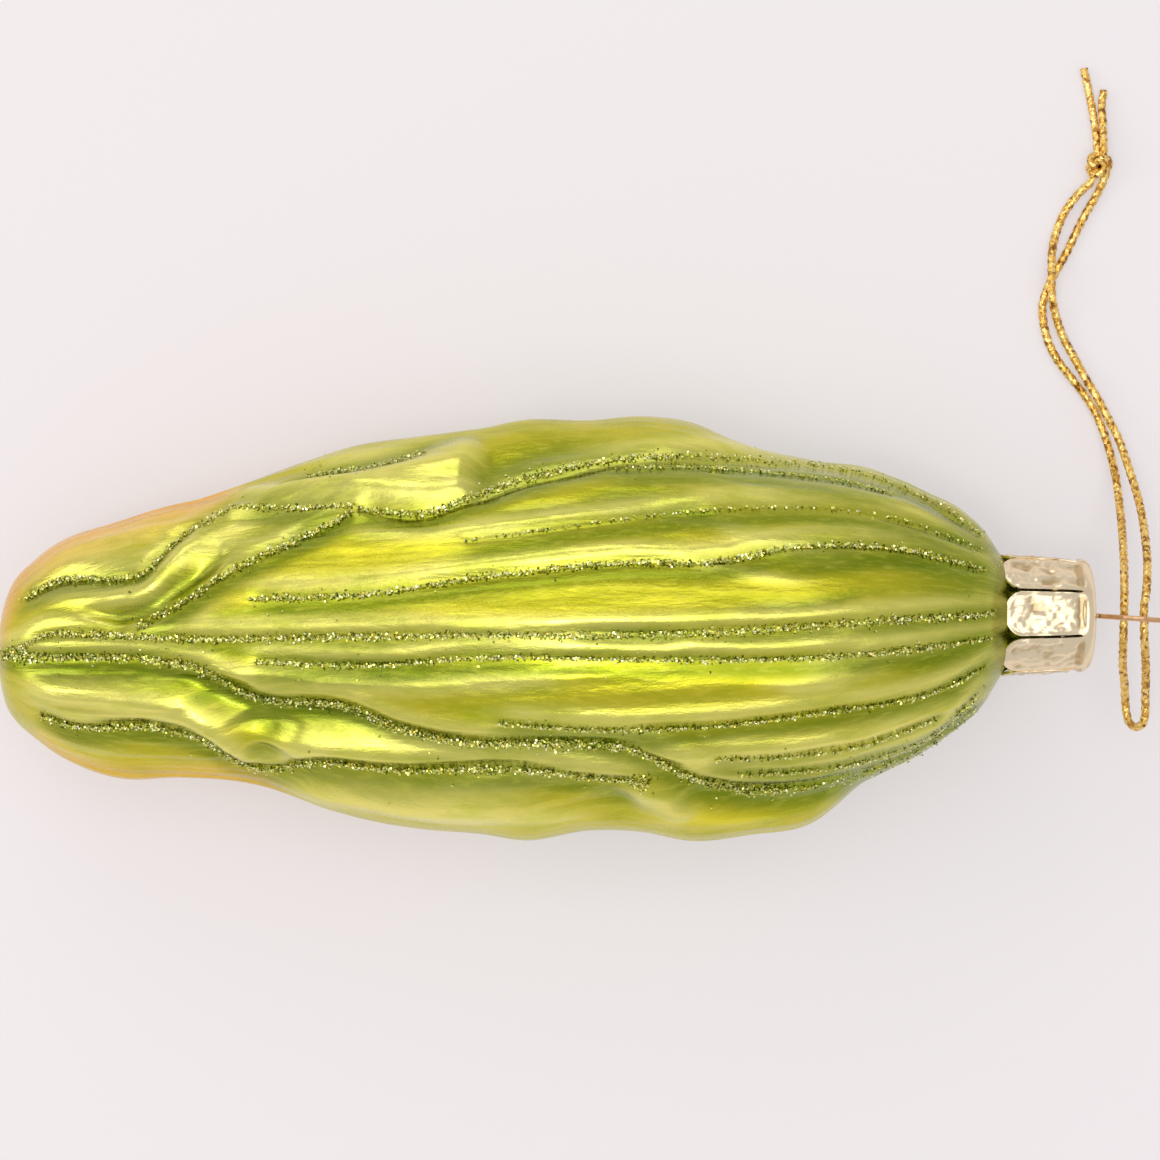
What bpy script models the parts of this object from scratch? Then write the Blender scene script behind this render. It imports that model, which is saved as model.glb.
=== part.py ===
"""Mouth-blown glass corn cob ornament, lying on its kernel side.

A thin blown glass shell carries the husk leaves on its upper side and the kernels
underneath.  A stamped crown cap grips its neck, a wire hairpin hangs through the cap,
and a knotted gold cord loop runs through the eye of the wire.  Lines of glitter glued
to the husk mark the leaf edges and the ribs.

Plan coordinates are in millimetres: x from the tip, y from the cap's axis, z up from
the surface that the ornament lies on.  place() turns them into the part's own frame.
"""
import math

import bmesh
import bpy
import numpy as np
from mathutils import Vector
from mathutils.bvhtree import BVHTree

MM = 0.001
COLLECTION = "glass_corn_cob_ornament"

# Driving dimensions, in millimetres
ORIGIN = (68.35, -1.45, 0.0)     # middle of the ornament's footprint, in plan coordinates
BODY_LENGTH = 122.3              # tip to the lip of the neck
AXIS_HEIGHT = 19.5               # the cap's axis above the surface
WALL = 0.9                       # blown glass, at its thinnest
GAP = 0.3                        # clearance between pieces that touch
KERNEL_ROW_ANGLE = 15.0          # degrees round the cob from row to row
KERNELS_IN_ROW = 22              # over the whole length of the body
KERNEL_DEPTH = 0.9               # groove between the kernels
OPEN_SIDE = 75.0                 # half-angle of the side with finer mesh columns, in degrees
COLUMNS_ABOVE = 13               # mesh columns per side over the husk
COLUMNS_BELOW = 15               # mesh columns per side over the kernels, three to a row
GLITTER_RADIUS = 0.3
GLITTER_STEP = 2.6               # between the points of a glitter bead
CAP_TOP = 126.3
CAP_WALL = 0.35
CAP_PETALS = 8
CAP_SLIT_LENGTH = 7.7
CAP_SLIT_HALF_WIDTH = 0.16
CAP_TURN = 2.5                   # degrees that the petals are turned about the cap's axis
WIRE_RADIUS = 0.3
CORD_RADIUS = 0.5

# Body sections: distance from the tip, +Y edge, -Y edge, husk radius, centre y, centre z
SECTIONS = np.array((
    (0.0, -4.2, -4.2, 0.0, -4.2, 14.0),
    (0.9, 2.3, -10.9, 5.8, -4.2, 14.0),
    (1.9, 4.3, -12.4, 7.5, -4.1, 14.1),
    (3.9, 6.2, -14.2, 9.3, -4.0, 14.2),
    (7.9, 8.5, -16.9, 11.5, -3.8, 14.5),
    (14.8, 10.9, -19.1, 13.5, -3.6, 15.0),
    (21.7, 12.9, -18.9, 14.9, -3.1, 15.6),
    (28.6, 15.2, -19.4, 15.9, -2.6, 16.2),
    (35.5, 17.7, -21.1, 16.7, -2.2, 16.8),
    (42.4, 19.8, -23.5, 17.6, -1.9, 17.3),
    (49.3, 20.7, -24.7, 18.4, -1.8, 18.05),
    (56.2, 21.6, -25.2, 19.1, -1.7, 18.75),
    (61.5, 22.6, -25.9, 19.6, -1.6, 19.25),
    (69.0, 22.5, -24.7, 20.0, -1.5, 19.65),
    (75.0, 22.9, -24.9, 20.1, -1.5, 19.7),
    (80.4, 22.2, -25.9, 20.1, -1.4, 19.75),
    (87.2, 19.4, -25.2, 19.8, -1.3, 19.6),
    (94.2, 18.1, -23.9, 19.0, -1.1, 19.6),
    (101.0, 17.0, -19.1, 17.4, -0.9, 19.5),
    (108.0, 14.1, -15.5, 14.6, -0.6, 19.5),
    (112.0, 11.8, -12.4, 12.0, -0.4, 19.5),
    (114.3, 9.6, -9.8, 9.6, -0.1, 19.5),
    (115.3, 8.3, -8.3, 8.3, 0.0, 19.5),
    (116.3, 6.15, -6.15, 6.15, 0.0, 19.5),
    (118.3, 5.7, -5.7, 5.7, 0.0, 19.5),
    (BODY_LENGTH, 5.6, -5.6, 5.6, 0.0, 19.5),
))

# Half-angle of the open kernel field, measured from straight down: distance, degrees
KERNEL_FIELD = np.array(((0, 80), (13, 76), (29, 68), (46, 62), (63, 56), (77, 44),
                         (89, 24), (97, 0), (BODY_LENGTH, 0)), float)

# Glitter lines along ribs and leaf edges: name, groove depth under the line, points
GLITTER = (
    ("midrib", 0.35, ((1.2, -4.2), (4.3, -3.5), (6.4, -2.4), (12, -2.1), (23, -2.5), (48, -2.1),
                      (81, -1.7), (102, -0.4), (113.5, 0.3))),
    ("branch", 0.4, ((18.6, -0.9), (23, 1.4), (28.6, 5.1), (34.3, 7.8), (39.5, 10.3))),
    ("leaf_edge", 0.5, ((5.6, -4.7), (19.8, -4.9), (25, -5.8), (31.4, -9.0), (41.5, -10.0),
                        (48, -12.6), (53.7, -13.8), (65, -14.1), (73.4, -14.7), (80.8, -18.3),
                        (92.3, -19.4), (100.2, -17.8), (108, -14.6), (111, -12.6))),
    ("rib_low", 0.4, ((31.5, -5.0), (44.6, -5.4), (53.8, -4.6), (78, -4.7), (90, -4.6),
                      (101, -3.9), (113.3, -2.7))),
    ("rib_high", 0.45, ((30.8, 2.0), (43, 2.4), (58.8, 4.7), (73.4, 6.0), (82, 6.0),
                        (91.6, 7.7), (104, 7.4), (113.3, 5.1))),
    ("rib_upper", 0.4, ((54.8, 8.4), (73.4, 10.9), (84.7, 12.0), (102.8, 11.0), (113.3, 7.4))),
    ("rib_side", 0.25, ((71.6, 16.6), (82.4, 16.6), (90, 16.0), (98, 14.9), (103, 13.8))),
    ("fold_edge", 0.9, ((44.9, 11.9), (50.8, 11.7), (55.8, 13.5), (67.8, 17.0), (80.4, 18.0),
                        (88.5, 17.7), (98.6, 16.6), (107.2, 13.5), (112.4, 9.9))),
    ("fold_inner", 0.4, ((30.2, 12.4), (35.4, 12.2), (42.4, 12.7))),
    ("side_leaf", 0.6, ((3.9, 1.9), (7.8, 3.9), (14.7, 4.2), (17.8, 4.6), (22.2, 8.6),
                        (27.8, 12.1))),
    ("side_rib", 0.35, ((37.3, 15.9), (45, 17.1), (49.6, 18.4))),
    ("low_leaf", 0.5, ((5.8, -11.4), (9, -12.5), (19.5, -12.6), (25.2, -14.1), (29.2, -16.9),
                       (31.5, -17.5), (38.3, -16.5), (45.3, -17.2), (61.4, -17.2),
                       (73.8, -18.5))),
    ("rib_lower", 0.4, ((58.2, -11.8), (72, -12.5), (77.5, -12.4), (94.9, -10.5),
                        (108.7, -7.9), (113.4, -5.6))),
    ("rib_low_side", 0.3, ((82.2, -15.8), (89, -15.7), (99.3, -14.4), (108.6, -11.2))),
    ("rib_low_edge", 0.3, ((85.4, -17.6), (91.6, -17.4), (100.6, -16.1), (108.5, -12.9),
                           (112.6, -8.8))),
)

# Folds of the leaves: height (a valley is negative), half-width, fade in, fade out, points
FOLDS = (
    (1.0, 1.6, 6, 8, ((11, 2.0), (15.8, 1.9), (19.3, 3.0), (21.7, 5.8), (25.7, 10.3),
                      (29.1, 12.0), (39, 14))),
    (-1.7, 1.5, 3, 4, ((13.5, 0.4), (17.1, 0.3), (20.0, 1.5), (22.3, 3.2), (27.5, 6.6))),
    (0.8, 2.4, 4, 5, ((6, 7.0), (14, 8.0), (22, 11.4))),
    (2.2, 2.0, 9, 1.4, ((35, 12.9), (45.3, 14.6), (50.9, 16.0), (56.2, 17.6))),
    (-1.3, 2.4, 1.0, 8, ((55.6, 15.4), (61, 17.6), (71, 19.2))),
    (-1.3, 1.7, 5, 6, ((23, -7.0), (31.4, -10.9), (41.5, -12.4), (48, -14.4), (53.7, -15.4),
                       (71, -16.0))),
    (0.9, 1.6, 3, 5, ((33.5, -14.3), (42.1, -14.4), (49.9, -15.2), (58.9, -15.8),
                      (72, -16.9))),
    (-0.8, 1.3, 3, 4, ((6, -6.4), (15, -6.5), (23, -7.2))),
    (1.0, 1.5, 3, 3, ((5.6, -8.5), (14.7, -9.0), (19.4, -9.6), (23.9, -11.0), (26.6, -12.8),
                      (30, -15.6))),
    (-1.5, 0.9, 1.2, 1.2, ((29.4, -12.2), (35.2, -12.7))),
    (-1.3, 0.8, 1.2, 1.2, ((30.3, -15.0), (34.2, -15.4))),
    (1.1, 2.2, 4, 6, ((35, -19.2), (47, -20.4), (61, -20.9))),
    (-0.9, 2.0, 4, 4, ((69, -21.0), (77, -21.0))),
    (1.2, 1.8, 2, 2, ((73, -19.6), (80, -21.4))),
    (-0.8, 1.4, 3, 4, ((80, -20.2), (92, -21.4), (100, -19.6))),
)

# Cord centre lines, chosen along the loop; the first crosses over the second once
CORD_A = ((129.6, 52.5, 1.2), (128.0, 50.8, 1.0), (126.5, 48.8, 0.7), (125.4, 46.3, 0.6),
          (124.8, 43.9, 1.1), (124.6, 41.2, 2.0), (124.6, 38.6, 2.0), (125.3, 35.7, 1.1),
          (126.2, 33.4, 0.7), (127.5, 30.9, 0.9), (128.9, 28.2, 1.4), (130.1, 26.1, 1.8),
          (131.2, 23.9, 2.1), (132.4, 21.4, 2.6), (133.4, 18.0, 3.9), (134.3, 13.4, 6.8),
          (134.3, 9.2, 10.9), (133.9, 5.4, 14.7), (133.4, 2.4, 16.6), (133.1, 0.0, 17.0),
          (133.2, -2.4, 16.6), (133.6, -4.9, 15.0), (134.0, -7.4, 13.0), (134.2, -9.7, 11.5),
          (134.3, -11.5, 10.9), (134.2, -12.5, 10.6), (133.9, -13.1, 10.1), (133.6, -13.3, 9.6))
CORD_B = ((133.4, -13.3, 9.05), (133.1, -13.1, 8.5), (132.8, -12.5, 7.9), (132.6, -11.5, 7.7),
          (132.4, -10.0, 8.1), (132.1, -8.2, 9.4), (131.6, -6.2, 11.2), (131.3, -3.8, 13.2),
          (131.2, -0.8, 14.4),
          (131.3, 2.4, 14.2), (131.6, 5.4, 12.3), (132.0, 9.0, 8.9), (132.3, 13.0, 4.9),
          (132.1, 17.2, 2.4), (131.2, 21.4, 1.0), (130.1, 24.3, 0.6), (128.7, 26.6, 0.5),
          (127.2, 28.5, 0.5), (125.8, 30.3, 0.5), (124.6, 32.4, 0.5), (123.9, 34.8, 0.5),
          (123.7, 37.2, 0.5), (124.3, 39.4, 0.5), (125.3, 41.4, 0.5), (126.6, 43.7, 0.5),
          (127.7, 46.0, 0.5), (128.8, 48.2, 0.5), (129.9, 50.1, 0.5), (130.9, 51.8, 0.7))
KNOT = (130.3, 54.2, 1.7)
TAIL_A = ((130.0, 56.5, 0.9), (129.9, 59.2, 0.6), (129.5, 62.2, 0.5), (128.7, 66.0, 0.5))
TAIL_B = ((131.5, 56.2, 1.0), (131.8, 58.8, 0.8), (131.3, 61.2, 0.8), (131.3, 63.2, 0.7))


def clear_scene():
    for old in list(bpy.data.objects):
        bpy.data.objects.remove(old, do_unlink=True)


def new_collection(name):
    collection = bpy.data.collections.new(name)
    bpy.context.scene.collection.children.link(collection)
    return collection


def place(x, y, z):
    """Plan millimetres to the part's frame, in metres."""
    return Vector(((x - ORIGIN[0]) * MM, (y - ORIGIN[1]) * MM, (z - ORIGIN[2]) * MM))


def material(name, colour, roughness, metallic):
    made = bpy.data.materials.new(name)
    made.use_nodes = True
    shader = made.node_tree.nodes["Principled BSDF"]
    shader.inputs["Base Color"].default_value = (*colour, 1.0)
    shader.inputs["Roughness"].default_value = roughness
    shader.inputs["Metallic"].default_value = metallic
    return made


def add_part(name, data, collection, finish):
    part = bpy.data.objects.new(name, data)
    data.materials.append(finish)
    collection.objects.link(part)
    return part


def smooth(keys, values, at):
    """Cubic curve through (keys, values), read at each place."""
    keys, values = np.asarray(keys, float), np.asarray(values, float)
    at = np.clip(at, keys[0], keys[-1])
    slopes = np.gradient(values, keys)
    i = np.clip(np.searchsorted(keys, at) - 1, 0, len(keys) - 2)
    span = keys[i + 1] - keys[i]
    t = (at - keys[i]) / span
    return ((2 * t**3 - 3 * t**2 + 1) * values[i] + (t**3 - 2 * t**2 + t) * span * slopes[i]
            + (3 * t**2 - 2 * t**3) * values[i + 1] + (t**3 - t**2) * span * slopes[i + 1])


def ramp(low, high, at):
    t = np.clip((at - low) / (high - low), 0.0, 1.0)
    return t * t * (3.0 - 2.0 * t)


def section(x):
    """Edges, husk radius and centre of the body at a distance from the tip."""
    keys = np.sqrt(SECTIONS[:, 0])        # the square root rounds the blunt tip
    at = np.sqrt(np.clip(x, 0.0, BODY_LENGTH))
    return [smooth(keys, SECTIONS[:, column], at) for column in range(1, 6)]


def along(points, half_width, fade_in, fade_out, x, y):
    """Bell-shaped band along a line, 1 on the line and fading at both ends."""
    line_x, line_y = np.array(points, float).T
    middle = smooth(line_x, line_y, x)
    slope = smooth(line_x, line_y, x + 0.5) - smooth(line_x, line_y, x - 0.5)
    away = (y - middle) / np.sqrt(1.0 + slope**2)
    ends = ramp(line_x[0] - fade_in, line_x[0] + fade_in, x)
    ends = ends * (1.0 - ramp(line_x[-1] - fade_out, line_x[-1] + fade_out, x))
    return ends * np.exp(-(away / half_width) ** 2)


def husk_relief(x, y):
    """Height of the leaves' ribs and folds above the plain husk."""
    height = np.zeros_like(x)
    for _, depth, points in GLITTER:
        height -= depth * along(points, 1.1, 2.0, 2.0, x, y)
    for lift, half_width, fade_in, fade_out, points in FOLDS:
        height += lift * along(points, half_width, fade_in, fade_out, x, y)
    return height * ramp(0.5, 6.0, x)


def kernel_relief(x, along_body, down):
    """Kernel crowns at 0 and grooves below them, inside the open field."""
    field = np.interp(x, KERNEL_FIELD[:, 0], KERNEL_FIELD[:, 1])
    inside = ramp(-2.0, 2.5, field - np.abs(down))
    row = (down / KERNEL_ROW_ANGLE) % 1.0
    seat = (along_body * KERNELS_IN_ROW) % 1.0
    groove = np.maximum(np.abs(row - 0.5), np.abs(seat - 0.5)) * 2.0
    kernels = -KERNEL_DEPTH * ramp(0.45, 0.95, groove)
    rim = 1.0 * ramp(-9.0, -1.0, field - np.abs(down)) * (1.0 - inside)
    return inside * kernels + rim * ramp(4.0, 12.0, x) * (1.0 - ramp(81.0, 97.0, x))


def distance_from_tip(along_body):
    blunt = 0.08                          # packs the rings closer round the tip
    reach = (np.hypot(along_body, blunt) - blunt) / (math.hypot(1, blunt) - blunt)
    return BODY_LENGTH * reach


def flank(x, angle):
    """Plain husk surface: centre, half-width towards the angle, and radius."""
    edge_high, edge_low, radius, centre_y, centre_z = section(x)
    side = np.sin(angle)
    edge = np.where(side > 0, edge_high - centre_y, centre_y - edge_low)
    flap = np.exp(-(np.degrees(np.arccos(np.abs(side))) / 32.0) ** 2)
    return centre_y, centre_z, radius + (edge - radius) * flap, radius


def relief(along_body, angle):
    """Height of the moulded surface above the plain husk, at an angle from straight up."""
    x = distance_from_tip(along_body)
    centre_y, centre_z, half_width, radius = flank(x, angle)
    down = np.degrees(angle) % 360.0 - 180.0
    upper = ramp(-0.25, 0.1, np.cos(angle))
    husk = husk_relief(x, centre_y + half_width * np.sin(angle))
    height = upper * husk + (1.0 - upper) * kernel_relief(x, along_body, down)
    return height * (1.0 - ramp(110.5, 114.3, x))


def deepest(along_body, angle, rings):
    """Lowest relief near a point less the wall, so that the coarse inner wall stays inside."""
    near = [relief(np.clip(along_body + shift, 0, 1), angle + math.radians(turn))
            for shift in np.linspace(-1.0, 1.0, 7) / rings for turn in (-8.0, 0.0, 8.0)]
    return np.minimum(np.min(near, axis=0), 0.0) - WALL


def shell_mesh(rings, inner):
    """Sphere primitive drawn out to the body's shape, open at the lip."""
    columns = COLUMNS_ABOVE + COLUMNS_BELOW
    bm = bmesh.new()
    bmesh.ops.create_uvsphere(bm, u_segments=2 * columns, v_segments=rings, radius=1.0)
    far_pole = min(bm.verts, key=lambda v: v.co.z)
    bmesh.ops.delete(bm, geom=[far_pole], context="VERTS")
    unit = np.array([v.co for v in bm.verts])
    along_body = np.arccos(np.clip(unit[:, 2], -1, 1)) / math.pi * rings / (rings - 1)
    along_body = np.clip(along_body, 0, 1)
    turned = np.arctan2(unit[:, 1], unit[:, 0])
    column = np.abs(turned) / math.pi * columns
    fine = 180.0 - OPEN_SIDE + (column - COLUMNS_ABOVE) * OPEN_SIDE / COLUMNS_BELOW
    coarse = column * (180.0 - OPEN_SIDE) / COLUMNS_ABOVE
    angle = np.radians(np.where(column > COLUMNS_ABOVE, fine, coarse)) * np.sign(turned)
    height = deepest(along_body, angle, rings) if inner else relief(along_body, angle)
    x = distance_from_tip(along_body)
    centre_y, centre_z, half_width, radius = flank(x, angle)
    if inner:
        x = np.maximum(x, WALL)
        height = np.maximum(height, -0.5 * radius)
    z = centre_z + (radius + height) * np.cos(angle)
    y = centre_y + (half_width + height) * np.sin(angle)
    for vert, at in zip(bm.verts, zip(x, y, np.maximum(z, WALL if inner else 0.0))):
        vert.co = place(*at)
    return bm


def glass_body(collection):
    outer = shell_mesh(3 * KERNELS_IN_ROW + 1, False)
    inner = shell_mesh(KERNELS_IN_ROW + 1, True)
    bmesh.ops.reverse_faces(inner, faces=inner.faces)
    joined = bpy.data.meshes.new("glass_cob")
    inner.to_mesh(joined)
    inner.free()
    outer.from_mesh(joined)
    lips = [edge for edge in outer.edges if edge.is_boundary]
    bmesh.ops.bridge_loops(outer, edges=lips)
    outer.to_mesh(joined)
    tree = BVHTree.FromBMesh(outer)
    outer.free()
    joined.shade_smooth()
    finish = material("green_lacquered_glass", (0.42, 0.52, 0.06), 0.2, 0.85)
    return add_part("glass_cob", joined, collection, finish), tree


def tube(name, points, radius, sides, collection, finish):
    """Capped round tube through plan points."""
    curve = bpy.data.curves.new(name, "CURVE")
    curve.dimensions = "3D"
    curve.bevel_depth = radius * MM
    curve.bevel_resolution = sides
    curve.use_fill_caps = True
    line = curve.splines.new("POLY")
    line.points.add(len(points) - 1)
    for point, at in zip(line.points, points):
        point.co = (*place(*at), 1.0)
    return add_part(name, curve, collection, finish)


def even_points(points, step):
    """Points a step apart on the smooth curve through the given ones."""
    points = np.array(points, float)
    lengths = np.concatenate(((0,), np.cumsum(np.linalg.norm(np.diff(points, axis=0), axis=1))))
    count = max(2, int(round(lengths[-1] / step)) + 1)
    at = np.linspace(0.0, lengths[-1], count)
    return np.column_stack([smooth(lengths, points[:, axis], at) for axis in range(3)])


def glitter_lines(collection, tree):
    finish = material("green_gold_glitter", (0.5, 0.6, 0.2), 0.4, 0.9)
    lift = (GLITTER_RADIUS + 1.5 * GAP) * MM
    for name, _, points in GLITTER:
        flat = even_points([(x, y, 2.0 * AXIS_HEIGHT + 10.0) for x, y in points], GLITTER_STEP)
        route = []
        for start in flat:
            hit, normal = tree.ray_cast(place(*start), Vector((0, 0, -1)))[:2]
            above = (hit + normal * lift) / MM
            route.append([above[axis] + ORIGIN[axis] for axis in range(3)])
        tube("glitter_" + name, route, GLITTER_RADIUS, 0, collection, finish)


def slit_cutter(turn, cutters):
    """Slit between two petals, widening to the notch that rounds their tips."""
    start = CAP_TOP - 2.6
    notch = start - CAP_SLIT_LENGTH + 2.6
    wide = CAP_SLIT_HALF_WIDTH + 2.2
    outline = [(start, CAP_SLIT_HALF_WIDTH), (notch, CAP_SLIT_HALF_WIDTH)]
    outline += [(notch - 3.2 * math.sin(a), wide - 2.2 * math.cos(a))
                for a in np.linspace(0.2, math.pi / 2, 6)]
    outline.append((notch - 3.7, wide))
    ring = outline + [(x, -half) for x, half in reversed(outline)]
    bm = bmesh.new()
    base = [bm.verts.new((x * MM, half * MM, 5.9 * MM)) for x, half in ring]
    face = bm.faces.new(base)
    lifted = bmesh.ops.extrude_face_region(bm, geom=[face])
    moved = [item for item in lifted["geom"] if isinstance(item, bmesh.types.BMVert)]
    bmesh.ops.translate(bm, verts=moved, vec=(0, 0, 3.2 * MM))
    bmesh.ops.recalc_face_normals(bm, faces=bm.faces)
    mesh = bpy.data.meshes.new("petal_slit")
    bm.to_mesh(mesh)
    bm.free()
    cutter = bpy.data.objects.new("petal_slit", mesh)
    cutter.location = place(0.0, 0.0, AXIS_HEIGHT)
    cutter.rotation_euler = (math.radians(turn), 0.0, 0.0)
    cutter.display_type = "WIRE"
    cutter.hide_render = True
    cutters.objects.link(cutter)
    return cutter


def crown_cap(collection, cutters):
    """Stamped cap: a turned cup with a wire hole, slit into petals over the neck."""
    outside = [(7.5, 115.8), (7.25, 116.6), (7.1, 118.0), (6.75, 123.0), (6.6, 125.2),
               (6.3, 125.95), (5.6, CAP_TOP), (2.3, CAP_TOP), (2.0, CAP_TOP + 0.45),
               (1.3, CAP_TOP + 0.45)]
    inside = [(1.3, CAP_TOP + 0.1), (1.7, CAP_TOP - CAP_WALL), (5.4, CAP_TOP - CAP_WALL),
              (6.0, 125.7), (6.25, 125.0), (6.4, 123.0), (6.75, 118.0), (6.9, 116.6),
              (7.15, 115.8)]
    mesh = bpy.data.meshes.new("crown_cap")
    profile = [(radius * MM, 0.0, height * MM) for radius, height in reversed(outside + inside)]
    count = len(profile)
    mesh.from_pydata(profile, [(i, (i + 1) % count) for i in range(count)], [])
    finish = material("pale_gold_stamping", (0.83, 0.74, 0.52), 0.25, 1.0)
    cap = add_part("crown_cap", mesh, collection, finish)
    cap.location = place(0.0, 0.0, AXIS_HEIGHT)
    cap.rotation_euler = (0.0, math.radians(90), 0.0)
    turned = cap.modifiers.new("turned", "SCREW")
    turned.steps = turned.render_steps = 48
    turned.merge_threshold = 0.00001
    turned.use_merge_vertices = True
    turned.use_normal_calculate = True
    for petal in range(CAP_PETALS):
        turn = 360.0 / CAP_PETALS * (petal + 0.5) + CAP_TURN
        slit = cap.modifiers.new("slit", "BOOLEAN")
        slit.operation = "DIFFERENCE"
        slit.object = slit_cutter(turn, cutters)
    return cap


def hanger_wire(collection):
    """Hairpin of wire: an eye outside the cap, two sprung legs inside the neck."""
    half = [(110.5, 5.2), (113.5, 4.0), (117.0, 3.3), (121.0, 2.1), (124.5, 0.85), (126.5, 0.55),
            (127.6, 0.9), (128.7, 2.0), (130.0, 3.1), (131.6, 3.7), (133.4, 3.75), (135.2, 3.2),
            (136.5, 2.0), (137.0, 0.6)]
    points = half + [(x, -up) for x, up in reversed(half)]
    lean = math.tan(math.radians(4.0))
    centre = [(x, -lean * max(x - 126.5, 0.0), AXIS_HEIGHT + up) for x, up in points]
    finish = material("copper_wire", (0.72, 0.42, 0.22), 0.3, 1.0)
    return tube("hanger_wire", even_points(centre, 1.1), WIRE_RADIUS, 2, collection, finish)


def cord_loop(collection):
    """Gold cord: two strands from the knot meet in a bend beyond the wire's eye."""
    finish = material("gold_cord", (0.75, 0.5, 0.16), 0.4, 0.9)
    for name, points in (("cord_strand_a", CORD_A), ("cord_strand_b", CORD_B),
                         ("cord_tail_a", TAIL_A), ("cord_tail_b", TAIL_B)):
        tube(name, even_points(points, 1.6), CORD_RADIUS, 2, collection, finish)
    bm = bmesh.new()
    bmesh.ops.create_uvsphere(bm, u_segments=16, v_segments=10, radius=1.0)
    for vert in bm.verts:
        vert.co = place(KNOT[0] + 1.5 * vert.co.x, KNOT[1] + 1.45 * vert.co.y,
                        KNOT[2] + 1.3 * vert.co.z)
    mesh = bpy.data.meshes.new("cord_knot")
    bm.to_mesh(mesh)
    bm.free()
    return add_part("cord_knot", mesh, collection, finish)


clear_scene()
parts = new_collection(COLLECTION)
cutter_set = new_collection("cutters")
body, body_tree = glass_body(parts)
glitter_lines(parts, body_tree)
crown_cap(parts, cutter_set)
hanger_wire(parts)
cord_loop(parts)
bpy.context.view_layer.update()
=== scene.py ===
"""Glass corn cob ornament: a silvered, lacquered blown shell with glitter lines, a stamped
cap, a wire hanger and a knotted gold cord.  Metres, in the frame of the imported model."""
import math

import bpy
import numpy as np
from mathutils import Matrix, Vector, noise
from mathutils.bvhtree import BVHTree


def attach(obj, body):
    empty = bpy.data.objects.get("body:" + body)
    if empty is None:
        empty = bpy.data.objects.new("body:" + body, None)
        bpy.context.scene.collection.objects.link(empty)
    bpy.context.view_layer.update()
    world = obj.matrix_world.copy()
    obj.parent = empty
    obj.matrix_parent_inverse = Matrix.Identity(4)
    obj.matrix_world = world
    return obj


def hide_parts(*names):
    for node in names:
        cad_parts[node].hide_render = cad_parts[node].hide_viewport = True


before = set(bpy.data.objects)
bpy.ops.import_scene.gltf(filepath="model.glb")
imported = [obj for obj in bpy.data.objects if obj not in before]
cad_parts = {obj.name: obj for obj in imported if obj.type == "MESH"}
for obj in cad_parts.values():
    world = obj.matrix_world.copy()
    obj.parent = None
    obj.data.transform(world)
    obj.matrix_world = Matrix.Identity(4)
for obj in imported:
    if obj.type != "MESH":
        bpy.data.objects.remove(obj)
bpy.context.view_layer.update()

# ---------------------------------------------------------------- stand, camera and lights
# A sheet of pale paper that glows slightly, seen from straight above through a 100 mm lens.
# A large soft box hangs overhead and a small one beside the lens; two more stand at the
# far side and at the tip's side.
MM = 0.001
VIEW_CENTRE = (-0.65, 5.53)          # millimetres, where the lens points
LENS_HEIGHT = 390.6                  # lens above the table
WALL_LIGHT = 0.68                    # strength of the light from the room's walls
PAPER_GLOW = 0.335
scene = bpy.context.scene
scene.view_settings.view_transform = "Standard"

camera_data = bpy.data.cameras.new("camera")
camera_data.lens = 100.0
camera_data.sensor_width = 36.0
camera_data.clip_start = 0.01
camera = bpy.data.objects.new("camera", camera_data)
camera.location = (VIEW_CENTRE[0] * MM, VIEW_CENTRE[1] * MM, LENS_HEIGHT * MM)
scene.collection.objects.link(camera)
scene.camera = camera


def soft_box(name, location, size, power):
    """Soft box at a place in metres, turned towards the middle of the table."""
    data = bpy.data.lights.new(name, "AREA")
    data.shape = "RECTANGLE"
    data.size, data.size_y = size
    data.energy = power
    lamp = bpy.data.objects.new(name, data)
    lamp.location = location
    lamp.rotation_euler = (-Vector(location)).to_track_quat("-Z", "Y").to_euler()
    scene.collection.objects.link(lamp)


soft_box("overhead_box", (0.0, 0.0, 0.95), (1.0, 0.9), 2.95)
soft_box("far_box", (-0.25, 0.95, 0.62), (0.7, 0.5), 1.3)
soft_box("tip_box", (-0.90, 0.05, 0.50), (0.6, 0.5), 1.9)
soft_box("small_box", (-0.12, -0.08, 0.80), (0.12, 0.10), 0.55)

world = bpy.data.worlds.new("studio")
world.use_nodes = True
world.node_tree.nodes["Background"].inputs["Color"].default_value = (0.99, 0.97, 1.0, 1.0)
world.node_tree.nodes["Background"].inputs["Strength"].default_value = WALL_LIGHT
scene.world = world

bpy.ops.mesh.primitive_plane_add(size=3.0, location=(0.0, 0.0, 0.0))
table = bpy.context.object
table.name = "paper_sheet"
paper = bpy.data.materials.new("pale_paper")
paper.use_nodes = True
shader = paper.node_tree.nodes["Principled BSDF"]
shader.inputs["Base Color"].default_value = (0.49, 0.45, 0.44, 1.0)
shader.inputs["Emission Color"].default_value = (0.98, 0.98, 1.03, 1.0)
shader.inputs["Emission Strength"].default_value = PAPER_GLOW
shader.inputs["Roughness"].default_value = 0.7
shader.inputs["Specular IOR Level"].default_value = 0.2
table.data.materials.append(paper)

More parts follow.
